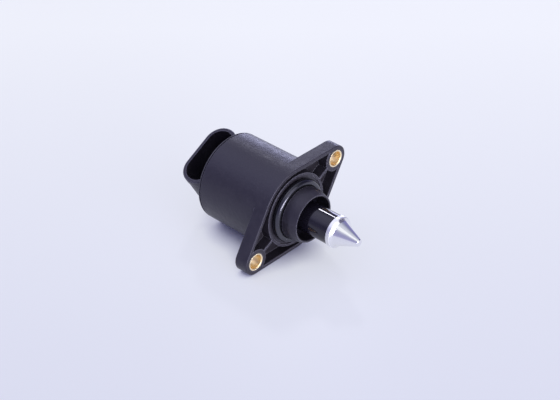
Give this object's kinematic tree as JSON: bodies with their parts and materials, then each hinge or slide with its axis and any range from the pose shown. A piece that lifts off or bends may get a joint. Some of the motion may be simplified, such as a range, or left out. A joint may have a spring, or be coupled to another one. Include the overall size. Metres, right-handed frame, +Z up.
{
  "type": "idle air control valve",
  "caption": "Stepper-driven idle air control valve: round plastic body with a two-ear mounting flange, sealed nose, sliding pintle with a turned cone and a plug socket at the back.",
  "frame": {"origin": "on the valve axis, in the plane of the flange's mounting face", "axes": "+X along the valve axis to the pintle tip, +Z up as the valve lies on a table on its body and one straight side of its flange"},
  "size_m": [0.0787, 0.0538, 0.0354],
  "materials": {
    "black_plastic": "matte",
    "limiter_brass": "polished",
    "seal_rubber": "satin",
    "plunger_plastic": "gloss",
    "cone_aluminium": "polished",
    "nut_brass": "satin",
    "shaft_steel": "satin",
    "hub_plastic": "satin",
    "magnet_ferrite": "matte",
    "bearing_steel": "polished",
    "cage_plastic": "satin",
    "plate_plastic": "matte",
    "bush_bronze": "satin",
    "stator_steel": "satin",
    "bobbin_plastic": "satin",
    "coil_copper": "gloss",
    "terminal_brass": "satin"
  },
  "bodies": {
    "valve_body": {"housing": "black_plastic", "rear_cover": "black_plastic", "limiter_upper": "limiter_brass", "limiter_lower": "limiter_brass", "seal_ring": "seal_rubber", "bearing_outer_race": "bearing_steel", "bearing_plate": "plate_plastic", "rear_bush": "bush_bronze", "front_cup_outer": "stator_steel", "front_cup_inner": "stator_steel", "rear_cup_inner": "stator_steel", "rear_cup_outer": "stator_steel", "front_bobbin": "bobbin_plastic", "rear_bobbin": "bobbin_plastic", "front_coil": "coil_copper", "rear_coil": "coil_copper", "terminal_1": "terminal_brass", "terminal_2": "terminal_brass", "terminal_3": "terminal_brass", "terminal_4": "terminal_brass"},
    "rotor": {"lead_screw": "shaft_steel", "rotor_hub": "hub_plastic", "rotor_magnet": "magnet_ferrite", "bearing_inner_race": "bearing_steel"},
    "pintle": {"plunger": "plunger_plastic", "valve_cone": "cone_aluminium", "drive_nut": "nut_brass"},
    "bearing_set": {"bearing_balls": "bearing_steel", "bearing_cage": "cage_plastic"}
  },
  "joints": [
    {"name": "rotor_spin", "type": "hinge", "parent": "valve_body", "child": "rotor", "pos_m": [0, 0, 0], "axis": [1, 0, 0], "range_deg": [-360, 1440]},
    {"name": "pintle_slide", "type": "slide", "parent": "valve_body", "child": "pintle", "axis": [1, 0, 0], "range_m": [-0.008, 0.002]},
    {"name": "cage_orbit", "type": "hinge", "parent": "valve_body", "child": "bearing_set", "pos_m": [0, 0, 0], "axis": [1, 0, 0], "range_deg": [-143, 570]}
  ],
  "couplings": [
    {"joint": "pintle_slide", "follows": "rotor_spin", "m_per_rad": -0.0003183},
    {"joint": "cage_orbit", "follows": "rotor_spin", "ratio": 0.3953}
  ]
}
